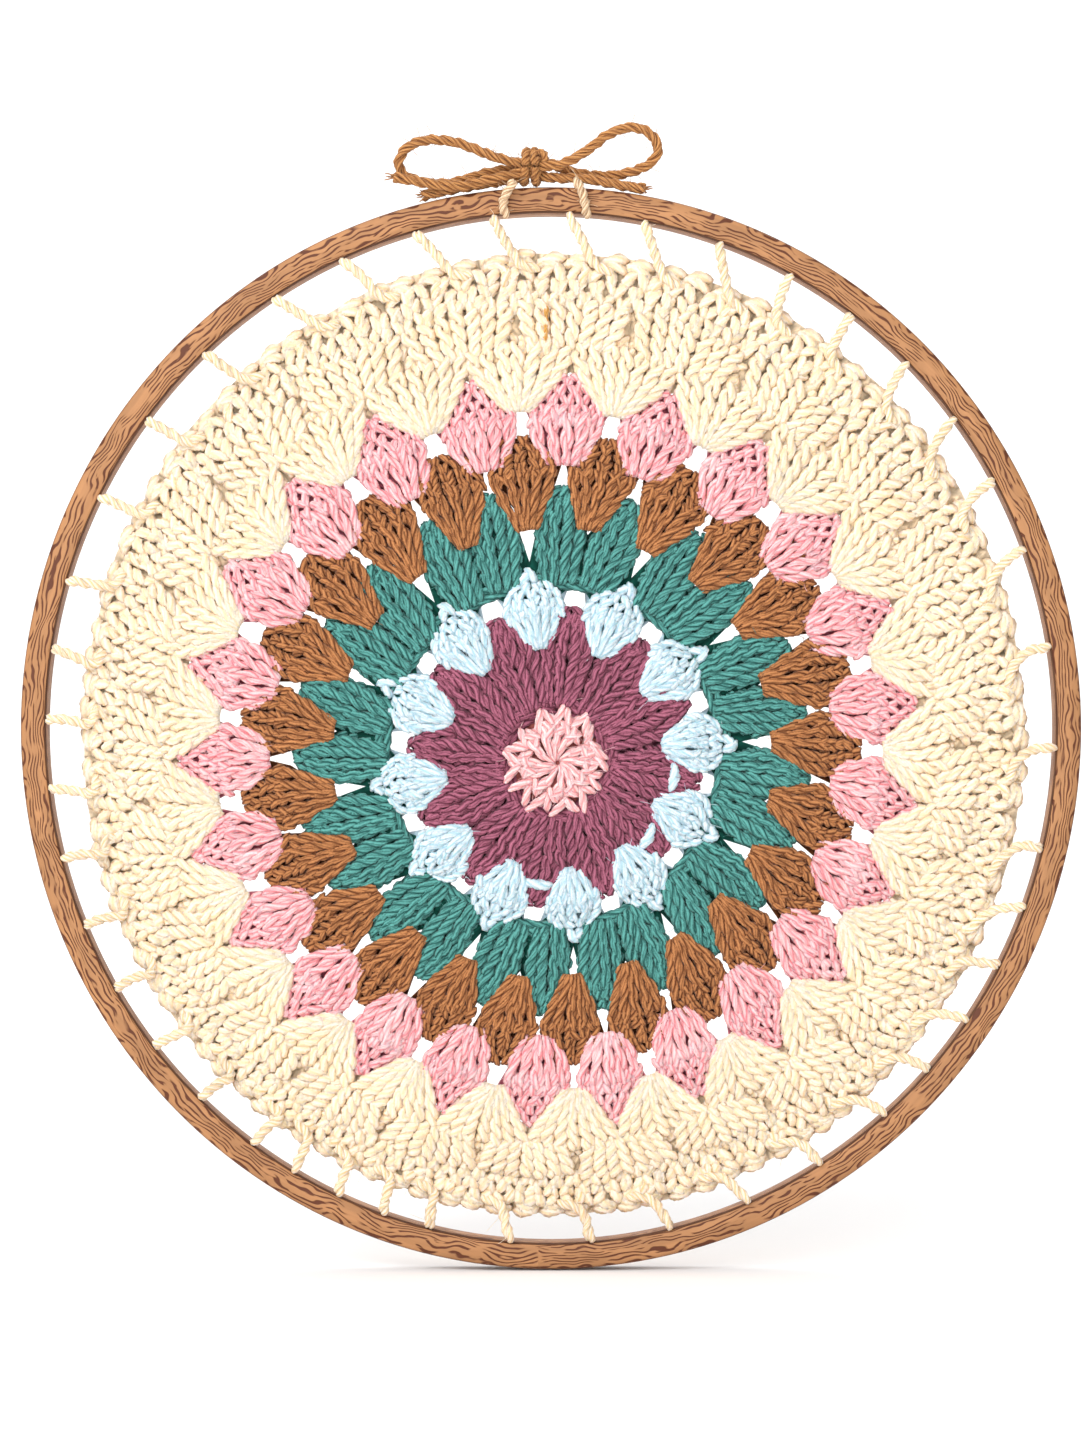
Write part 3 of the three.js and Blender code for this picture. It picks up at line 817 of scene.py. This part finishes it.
class CROCHET_OT_plum(bpy.types.Operator):
    """Works the round of plum spikes"""

    bl_idname = "crochet.plum"
    bl_label = "Plum Spikes"

    def execute(self, context):
        skein = Skein(23)
        outline = [(0, 3.2), (7, 5.2), (12.6, 6.7), (16.4, 4.6), (19.5, 3.2), (22.2, 1.9)]
        shape = Shape(outline, (5.3, 5.9, 5.9, 5.8, 5.5), 0.5)
        for radius, depth in ((11.4, 4.0), (12.6, 4.6), (13.8, 5.0)):
            skein.ring(radius, depth, 1.2)
        for place in clusters(skein, INNER_COUNT, PLUM_FOOT):
            rows(skein, place, shape, 3.6, length=4.4, lift=-0.8, pitch=2.8)
            posts(skein, place, shape, 4, 0.94, turns=1.9, radius=1.02)
            rows(skein, place, shape, 3.4, length=3.8, lift=0.2, bottom=0.72)
        finish_round(skein, "plum", 260, (66, 14, 34))
        return {"FINISHED"}


class CROCHET_OT_pale_blue(bpy.types.Operator):
    """Works the pale blue egg clusters"""

    bl_idname = "crochet.pale_blue"
    bl_label = "Pale Blue Clusters"

    def execute(self, context):
        skein = Skein(37)
        rng = skein.rng
        outline = [(0, 1.4), (2, 3.0), (4, 4.6), (8, 6.4), (10.5, 7.2), (12.5, 6.7), (14, 5.0), (15, 3.0)]
        shape = Shape(outline, (6.4, 7.0, 7.0, 6.4, 5.6), 1.3)
        for i in range(INNER_COUNT):
            turn = FIRST_TURN + 15 + 30 * i
            place = jittered(rng, turn, PALE_BLUE_FOOT)
            posts(skein, place, shape, 5, 0.74, turns=1.2)
            rows(skein, place, shape, 3.4, length=4.2, lift=0.3, bottom=0.42, pitch=2.0)
            side = rng.choice([-1, 1])
            chain = jittered(rng, turn + side * 0.8, 40.3)
            skein.leaf(chain, (-1.5, -0.6, 5.2), (0.9, 2.9, 5.8), 1.2, bow=0.6)
            skein.leaf(chain, (1.5, -0.4, 5.4), (-0.7, 3.2 + rng.uniform(0, 0.9), 6.0), 1.2, bow=-0.6)
        for turn, radius, tilt in ((97.4, 28.0, 0.05), (128.5, 28.2, -0.15), (187.4, 29.0, 0.1)):
            bridge = motif(turn, radius, tilt)
            skein.leaf(bridge, (-3.4, 0, 6.5), (3.4, 0.5, 6.5), 1.4, bow=0.5, dip=0.3)
        finish_round(skein, "pale_blue", 320, (158, 198, 210), soft=SOFT)
        return {"FINISHED"}


class CROCHET_OT_teal(bpy.types.Operator):
    """Works the teal shells with two points each"""

    bl_idname = "crochet.teal"
    bl_label = "Teal Shells"

    def execute(self, context):
        skein = Skein(41)
        outline = [(0, 3.8), (4, 4.6), (8, 5.3), (12, 5.8), (15, 5.5), (17.5, 4.5), (20, 3.2), (22.2, 1.9)]
        shape = Shape(outline, (5.4, 5.9, 5.9, 5.8, 5.5), 0.8)
        skein.ring(39.5, 4.3, 1.15, -0.6)
        skein.ring(41.3, 4.5, 1.15)
        for i in range(INNER_COUNT):
            turn = FIRST_TURN + 30 * i
            for side in (-1, 1):
                place = jittered(skein.rng, turn, TEAL_FOOT, tilt=side * 0.17, side=side * 4.2, amount=0.8)
                rows(skein, place, shape, 4.0, length=4.4, lift=-0.9, pitch=2.9)
                posts(skein, place, shape, 4, 0.9, turns=1.7, radius=1.02)
                rows(skein, place, shape, 3.5, length=4.0, lift=0.1, bottom=0.66)
        finish_round(skein, "teal", 380, (8, 60, 56))
        return {"FINISHED"}


class CROCHET_OT_brown(bpy.types.Operator):
    """Works the brown barrel clusters"""

    bl_idname = "crochet.brown"
    bl_label = "Brown Barrels"

    def execute(self, context):
        skein = Skein(59)
        outline = [
            (0, 2.2), (3, 3.6), (6, 5.3), (9, 6.9), (12, 7.6), (15, 7.6), (18, 6.4), (20, 4.9), (21.8, 3.0),
        ]
        shape = Shape(outline, (6.8, 6.9, 6.5, 5.9, 5.2), 1.0)
        for place in clusters(skein, OUTER_COUNT, BROWN_FOOT):
            posts(skein, place, shape, 5, 0.66, turns=1.3)
            rows(skein, place, shape, 3.6, length=3.8, lift=0.25, bottom=0.5, pitch=2.0)
        place = motif(45.0, 74.0)
        loop = np.linspace(-2.4, 2.4, 16)
        skein.strand(place(2.2 * np.sin(loop), 1.5 + 2.6 * np.cos(loop), 5.6 + 0 * loop), 0.7)
        finish_round(skein, "brown", 420, (76, 32, 8))
        return {"FINISHED"}


class CROCHET_OT_pink(bpy.types.Operator):
    """Works the pink drop-shaped clusters"""

    bl_idname = "crochet.pink"
    bl_label = "Pink Drops"

    def execute(self, context):
        skein = Skein(67)
        outline = [
            (0, 3.6), (2.5, 5.6), (5.5, 7.4), (9, 8.3), (12.5, 8.2), (15.5, 7.0), (17.5, 5.2), (19.5, 3.4),
            (21.2, 2.0),
        ]
        shape = Shape(outline, (6.1, 6.9, 6.9, 6.3, 5.4), 1.4)
        for place in clusters(skein, OUTER_COUNT, PINK_FOOT, 7.5):
            posts(skein, place, shape, 5, 0.62, turns=1.2)
            rows(skein, place, shape, 3.6, length=4.4, lift=0.25, bottom=0.42, radius=1.05)
        finish_round(skein, "pink", 480, (222, 118, 126), linear(255, 232, 230), SOFT)
        return {"FINISHED"}


class CROCHET_OT_cream(bpy.types.Operator):
    """Works the cream shells, the second row and the edging"""

    bl_idname = "crochet.cream"
    bl_label = "Cream Rounds"

    def execute(self, context):
        # The dark colours here and for the ochre thread are painted shade between the plies.
        dark, blush = linear(238, 208, 164), linear(238, 206, 154)
        material = yarn_material("cream_yarn", tuple(colours().cream), dark, blush, SOFT)
        self.shells().make("crochet_cream_shells", material, "yarn_cream", ["round_cream"])
        self.field().make("crochet_cream_field", material, "yarn_cream")
        self.edging().make("crochet_cream_edging", material, "yarn_cream")
        ochre = yarn_material("ochre_thread", linear(222, 170, 96), linear(170, 112, 44))
        self.stray_thread().make("crochet_stray_thread", ochre, "yarn_cream")
        return {"FINISHED"}

    def shells(self):
        """Fans of posts with slanting stitches under them."""
        skein = Skein(71)
        shape = Shape([(0, 2.2), (4, 6.2), (8, 9.6), (12, 12.2), (17, 13.2)], (6.2, 6.7, 6.7, 6.4, 6.1), 0.5)
        for place in clusters(skein, OUTER_COUNT, SHELL_FOOT):
            posts(skein, place, shape, 7, 0.9, turns=2.0, radius=1.12)
            rows(skein, place, shape, 4.0, length=4.6, lift=-0.9, bottom=0.08, pitch=3.3, radius=1.05)
        fluff(skein, 480)
        return skein

    def field(self):
        """The second row of posts, four rounds of stitches under it and two rounds of pairs past it."""
        skein = Skein(73)
        rng = skein.rng
        shape = Shape([(0, 9.0), (4, 11.4), (10, 13.4)], (6.1, 6.8, 6.7, 6.4), 0.15)
        for place in clusters(skein, OUTER_COUNT, SECOND_ROW_FOOT, 7.5):
            posts(skein, place, shape, 7, 1.0, turns=2.4, radius=1.15)
        for radius in (90.0, 93.0, 96.0, 98.8):
            count = int(2 * math.pi * radius / 5.2)
            for i in range(count):
                place = motif(360 * i / count + rng.normal(0, 0.3), radius, rng.normal(0, 0.2))
                skein.leaf(place, (-1.6, -0.6, 5.0), (1.2, 3.2, 5.4), 1.25)
        for k, radius in enumerate((100.4, 102.9)):
            count = int(2 * math.pi * radius / 4.0)
            for i in range(count):
                turn = 360 * (i + 0.5 * k) / count + rng.normal(0, 0.25)
                place = motif(turn, radius, rng.normal(0.0, 0.2))
                high = 0.3 * rng.normal()
                for side in (-1, 1):
                    nudge = rng.normal(0, 0.2, 2)
                    a = (side * 1.8 + nudge[0], -0.8, 5.5 + high)
                    b = (side * 0.35, 3.6 + nudge[1], 6.3 + high)
                    size = 1.42 * rng.uniform(0.9, 1.1)
                    skein.leaf(place, a, b, size, bow=-side * 0.5, tone=rng.normal(0, 0.5))
        fluff(skein, 420)
        return skein

    def edging(self):
        """Pairs of stitches, and the loops that cross them at the edge."""
        skein = Skein(79)
        rng = skein.rng
        for i in range(112):
            place = motif(360 * i / 112 + rng.normal(0, 0.3), 105.0, rng.normal(0, 0.12))
            skein.leaf(place, (-2.5, 0.2, 6.0), (0.2, 4.0, 6.3), 1.45, bow=0.5)
            skein.leaf(place, (2.5, 0.2, 6.0), (0.0, 4.2, 6.4), 1.45, bow=-0.5)
        for i in range(104):
            place = motif(360 * i / 104 + rng.normal(0, 0.35), 107.0, rng.normal(0, 0.1))
            out = rng.normal(0, 0.25)
            skein.leaf(place, (-3.3, 1.6 + out, 5.1), (3.3, 3.5 + out, 5.6), 1.65, bow=0.9)
            skein.leaf(place, (2.9, 0.6 + out, 5.6), (-2.3, 2.6 + out, 6.2), 1.4, bow=-0.7)
        fluff(skein, 400)
        return skein

    def stray_thread(self):
        """A short ochre thread caught in the second row."""
        skein = Skein(97)
        z = np.linspace(99.6, 91.4, 8) - HOOP_TOP
        for side in (-0.28, 0.28):
            x = -1.2 + side * np.cos(z * 1.1) + 0.02 * (z + 26)
            skein.strand(np.stack([x, 0 * z - 7.6, z], 1), 0.42, pitch=6.0, plies=3, step=0.7)
        fluff(skein, 8)
        return skein


class CROCHET_OT_ground(bpy.types.Operator):
    bl_idname = "crochet.ground"
    bl_label = "Back Loops And Painted Shade"

    def execute(self, context):
        # Painted shade: each round's ground colour, seen in the gaps between its strands.
        painted_shades = {
            "coral": (188, 108, 102),
            "plum": (66, 28, 42),
            "pale_blue": (150, 178, 192),
            "teal": (20, 74, 64),
            "brown": (84, 46, 24),
            "pink": (184, 100, 116),
            "cream": (252, 230, 196),
        }
        bm = bmesh.new()
        mesh = bpy.data.meshes.new("crochet_ground")
        for index, (key, shade) in enumerate(painted_shades.items()):
            material = ground_material("ground_round_" + key, linear(*shade), getattr(colours(), key))
            mesh.materials.append(material)
            before = set(bm.faces)
            bm.from_mesh(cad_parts["round_" + key].data)
            for face in set(bm.faces) - before:
                middle = face.calc_center_median() / MM
                reach = math.hypot(middle.x - MIDDLE_X, (middle.z + HOOP_TOP) / OVAL - MIDDLE_Z)
                face.material_index = index + 1 if key == "pale_blue" and reach > BLUE_EDGE else index
        bmesh.ops.remove_doubles(bm, verts=bm.verts, dist=2e-6)
        for vert in bm.verts:
            depth = -vert.co.y / MM
            vert.co.y = -(GROUND_BACK + (depth - SOLID_BACK) * GROUND_FLATTENING) * MM
        bm.to_mesh(mesh)
        bm.free()
        piece = linked("crochet_ground", mesh)
        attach(piece, BODY)
        return {"FINISHED"}


def cord_strands(skein, line, radius, spread, pitch):
    """Two strands twisted about a line."""
    lengths = along(line)
    even = np.arange(0, lengths[-1], 0.5)
    line = points_at(line, even, lengths)
    tangent = unit(np.gradient(line, axis=0))
    upright = abs(tangent[:, 2]).mean() >= 0.8
    across = unit(np.cross(tangent, [1.0, 0.1, 0.12] if upright else [0.12, 0.1, 1.0]))
    beside = np.cross(tangent, across)
    phase = skein.rng.uniform(0, 6.28)
    for offset in (0, math.pi):
        turn = phase + offset + 2 * math.pi * even / pitch
        skein.strand(wound(line, across, beside, spread, turn), radius, step=0.6, pitch=8)


class CROCHET_OT_lacing(bpy.types.Operator):
    """Laces the edge to the hoop and lays the two ties over it"""

    bl_idname = "crochet.lacing"
    bl_label = "Lacing"

    def execute(self, context):
        skein = Skein(83)
        rng = skein.rng
        start = LACING_START
        for to, count, lean in LACING_SPANS:
            for i in range(count):
                angle = start + (to - start) * i / count
                tilt = lean + rng.normal(0, 0.25)
                bend = rng.normal(0, 0.15)
                route = [
                    hoop_points(radius, angle + tilt * tilted + bend * bent + turn, depth, share)
                    for radius, depth, tilted, bent, turn, share in LACING_ROUTE
                ]
                cord_strands(skein, np.array(route), 0.86, 0.5, 6.0)
                foot = motif(angle + tilt - 4.2, 106.4, rng.normal(0, 0.15))
                skein.leaf(foot, (-0.6, -1.6, 6.2), (0.9, 2.3, 7.2), 1.2, bow=0.4)
            start = to
        fluff(skein, 140)
        strands = sorted(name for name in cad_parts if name.startswith("lacing"))
        # The dark colours here and for the ties are painted shade between the plies.
        light, dark = tuple(colours().cream), linear(226, 190, 132)
        finish = yarn_material("lacing_yarn_finish", light, dark, soft=SOFT)
        skein.make("lacing_yarn", finish, "yarn_lacing", strands)
        ties = Skein(89)
        for route in (LEFT_TIE, RIGHT_TIE):
            cord_strands(ties, route_points(route), 0.72, 0.5, 4.6)
        fluff(ties, 24)
        finish = yarn_material("tie_yarn_finish", linear(240, 216, 182), linear(170, 124, 84))
        ties.make("tie_strands", finish, "tie_yarn", ["tie_left", "tie_right"])
        return {"FINISHED"}


def twine(name, seed, line, material, nodes):
    """A length of twine of three plies, and beside it the frayed fibres of its free end."""
    skein = Skein(seed)
    loose = Skein(seed + 500)
    rng = skein.rng
    half = sizes().twine_diameter / MM / 2
    lay, opened = 10.5, 3.0
    lengths = along(line)
    even = np.arange(0, lengths[-1], 0.4)
    smooth = points_at(line, even, lengths)
    tangent = unit(np.gradient(smooth, axis=0))
    normal = unit(np.cross(tangent, [0.2, 1.0, 0.1]))
    side = np.cross(tangent, normal)
    reach = half * 0.56 * (1 + 0.5 * np.clip(1 - (lengths[-1] - even) / opened, 0, 1))
    for ply in range(3):
        turn = ply * math.tau / 3 + math.tau * even / lay
        path = wound(smooth, normal, side, reach[:, None], turn)
        tone = rng.normal(0, 0.5)
        skein.strand(path, half * 0.54, tone, pitch=9.0, plies=3, step=0.55, ends=0.5, relief=0.1)
    for _ in range(12):
        heading = tangent[-1] + rng.normal(0, 0.4, 3)
        t = np.linspace(0, 1, 5)[:, None]
        start = smooth[-1] - tangent[-1] * 0.8 + rng.normal(0, 0.35, 3)
        loose.strand(start + heading * rng.uniform(0.9, 1.7) * t, 0.16, plies=2, step=0.5, relief=0.0)
    fluff(skein, int(lengths[-1] * 0.9), loose)
    fibres = loose.make(name + "_fibres", material, "twine")
    piece = skein.make(name, material, "twine", nodes)
    return piece, fibres, smooth


class CROCHET_OT_bow(bpy.types.Operator):
    """Ties the twine bow on top of the hoop"""

    bl_idname = "crochet.bow"
    bl_label = "Twine Bow"

    def execute(self, context):
        # The dark colour is painted shade between the plies.
        material = yarn_material("twine_finish", tuple(colours().twine), linear(112, 62, 28))
        x, depth, z = KNOT
        left = [(x - 1.6, 9.0, 132.8)] + LEFT_LOOP + [(x - 1, 6.4, 131.4), (x + 1.5, 7.0, 130.6)] + RIGHT_TAIL
        right = [(x + 1.6, 9.0, 132.3)] + RIGHT_LOOP + [(x + 1, 6.4, 133.0), (x - 1.6, 6.8, 130.8)]
        tail = [(x + 1.2, 8.6, 131.9), (x - 1.4, 9.0, 131.3)] + UPPER_TAIL
        made = []
        for name, seed, route, nodes in (
            ("bow_left", 101, left, ["bow_loop_left", "bow_tail_right"]),
            ("bow_right", 103, right + LOWER_TAIL, ["bow_loop_right", "bow_tail_lower"]),
            ("bow_tail", 107, tail, ["bow_tail_upper"]),
        ):
            made.append((*twine(name, seed, route_points(route), material, nodes), route[0]))
        wraps = self.knot(x, depth, z).make("bow_wraps", material, "twine", ["bow_knot"])
        for piece, fibres, smooth, first in made:
            length = float(along(smooth)[-1]) * MM
        return {"FINISHED"}

    def knot(self, x, depth, z):
        """Two upright wraps, a loop over them and three strands across."""
        skein = Skein(109)
        t = np.linspace(0, math.tau * 0.98, 30)
        for side, lean in ((-1.15, 0.3), (1.15, -0.2)):
            high = z - HOOP_TOP + 3.5 * np.sin(t)
            path = np.stack([x + side + lean * np.sin(t), -(depth + 3.0 * np.cos(t)), high], 1)
            out = unit(path - path.mean(0))
            for ply in range(3):
                turn = ply * math.tau / 3 + t * 3.2
                line = wound(path, out, np.array([1.0, 0, 0]), 0.58, turn)
                skein.strand(line, 0.68, pitch=5.0, plies=3, step=0.55, relief=0.12)
        t = np.linspace(0.2, 2.9, 16)
        high = z - HOOP_TOP + 1.8 + 1.7 * np.cos(t)
        over = np.stack([x + 1.4 + 2.2 * np.sin(t), -(depth + 2.4 - 0.6 * t), high], 1)
        skein.strand(over, 1.0, pitch=5.0, plies=3)
        t = np.linspace(-1, 1, 9)
        for drop in (-1.2, 0.0, 1.2):
            high = z - HOOP_TOP + drop + 0.4 * t
            across = np.stack([x + 2.9 * t, -(depth + 0.8 * (1 - t * t) + 0.2 * drop), high], 1)
            skein.strand(across, 1.3, plies=3)
        fluff(skein, 60)
        return skein


class CROCHET_OT_stage(bpy.types.Operator):
    """Sets the pale floor, the soft light and the camera"""

    bl_idname = "crochet.stage"
    bl_label = "Studio"

    def execute(self, context):
        self.floor()
        self.lights(context.scene)
        self.camera(context.scene)
        context.scene.view_settings.view_transform = "Standard"
        return {"FINISHED"}

    def floor(self):
        """Paper that runs back under the part and curves up behind it."""
        bm = bmesh.new()
        corner = [bm.verts.new((-3, -3, 0)), bm.verts.new((-3, 1.6, 0))]
        bend = [
            bm.verts.new((-3, 1.6 + 0.6 * math.sin(a), 0.6 - 0.6 * math.cos(a)))
            for a in np.linspace(0.1, math.pi / 2, 12)
        ]
        line = [*corner, *bend, bm.verts.new((-3, 2.2, 3.5))]
        edges = [bm.edges.new(pair) for pair in zip(line, line[1:])]
        swept = bmesh.ops.extrude_edge_only(bm, edges=edges)["geom"]
        far = [v for v in swept if isinstance(v, bmesh.types.BMVert)]
        bmesh.ops.translate(bm, vec=(6, 0, 0), verts=far)
        bmesh.ops.translate(bm, vec=(0, 0, CAD_BOX[0].z - 0.0004), verts=bm.verts)
        for face in bm.faces:
            face.smooth = True
        mesh = mesh_of("studio_floor", bm)
        mesh.materials.append(paper_material("studio_paper"))
        floor = linked("studio_floor", mesh)

    def lights(self, scene):
        """A pale world and four soft lamps."""
        world = bpy.data.worlds.new("studio_world")
        scene.world = world
        world.use_nodes = True
        world.node_tree.nodes["Background"].inputs["Color"].default_value = (1, 1, 1, 1)
        world.node_tree.nodes["Background"].inputs["Strength"].default_value = 0.64
        target = (0, 0, -0.12)
        for name, place, aim, size, power in (
            ("key_light", (-0.9, -1.1, 0.9), target, 0.7, 15.0),
            ("front_light", (-0.1, -1.3, 0.25), target, 0.8, 9.0),
            ("back_light", (0.0, 0.9, 2.2), (0, 1.4, -0.2), 2.0, 30.0),
            ("wall_light", (0.0, 0.7, 0.6), (0, 2.2, 0.1), 1.2, 5.0),
        ):
            light = bpy.data.lights.new(name, "AREA")
            light.shape = "SQUARE"
            light.size = size
            light.energy = power
            lamp = linked(name, light)
            lamp.location = place
            lamp.rotation_euler = (Vector(aim) - Vector(place)).to_track_quat("-Z", "Y").to_euler()

    def camera(self, scene):
        """The photo's square-on view, with its scale at the crochet's face."""
        data = bpy.data.cameras.new("photo_camera")
        data.lens = LENS
        data.sensor_width = SENSOR
        camera = linked("photo_camera", data)
        away = PHOTO_TALL / PIXELS_PER_MM * MM / SENSOR * LENS
        x, z = (shift / PIXELS_PER_MM for shift in CENTRE_OFFSET)
        camera.location = (-x * MM, -away - FACE_DEPTH * MM, (-HOOP_TOP + z) * MM)
        camera.rotation_euler = (math.pi / 2, 0, 0)
        scene.camera = camera


# The order matters: the ground is made once its rounds are made.
PIECES = [
    CROCHET_OT_stage, CROCHET_OT_bow, CROCHET_OT_hoop, CROCHET_OT_coral, CROCHET_OT_plum,
    CROCHET_OT_pale_blue, CROCHET_OT_teal, CROCHET_OT_brown, CROCHET_OT_pink, CROCHET_OT_cream,
    CROCHET_OT_ground, CROCHET_OT_lacing,
]


class CROCHET_PT_panel(bpy.types.Panel):
    bl_idname = "CROCHET_PT_panel"
    bl_label = "Crochet Hoop"
    bl_space_type = "VIEW_3D"
    bl_region_type = "UI"
    bl_category = "Crochet Hoop"

    def draw(self, context):
        layout = self.layout
        for group in (context.scene.crochet_colours, context.scene.crochet_sizes):
            for key in group.bl_rna.properties.keys():
                if key not in ("rna_type", "name"):
                    layout.prop(group, key)
        for piece in PIECES:
            layout.operator(piece.bl_idname)


CLASSES = [CrochetColours, CrochetSizes, *PIECES, CROCHET_PT_panel]


def register():
    for cls in CLASSES:
        bpy.utils.register_class(cls)
    bpy.types.Scene.crochet_colours = bpy.props.PointerProperty(type=CrochetColours)
    bpy.types.Scene.crochet_sizes = bpy.props.PointerProperty(type=CrochetSizes)


def unregister():
    del bpy.types.Scene.crochet_sizes
    del bpy.types.Scene.crochet_colours
    for cls in reversed(CLASSES):
        bpy.utils.unregister_class(cls)


def main():
    register()
    for piece in PIECES:
        getattr(bpy.ops.crochet, piece.bl_idname.split(".")[1])()


if __name__ == "__main__":
    main()
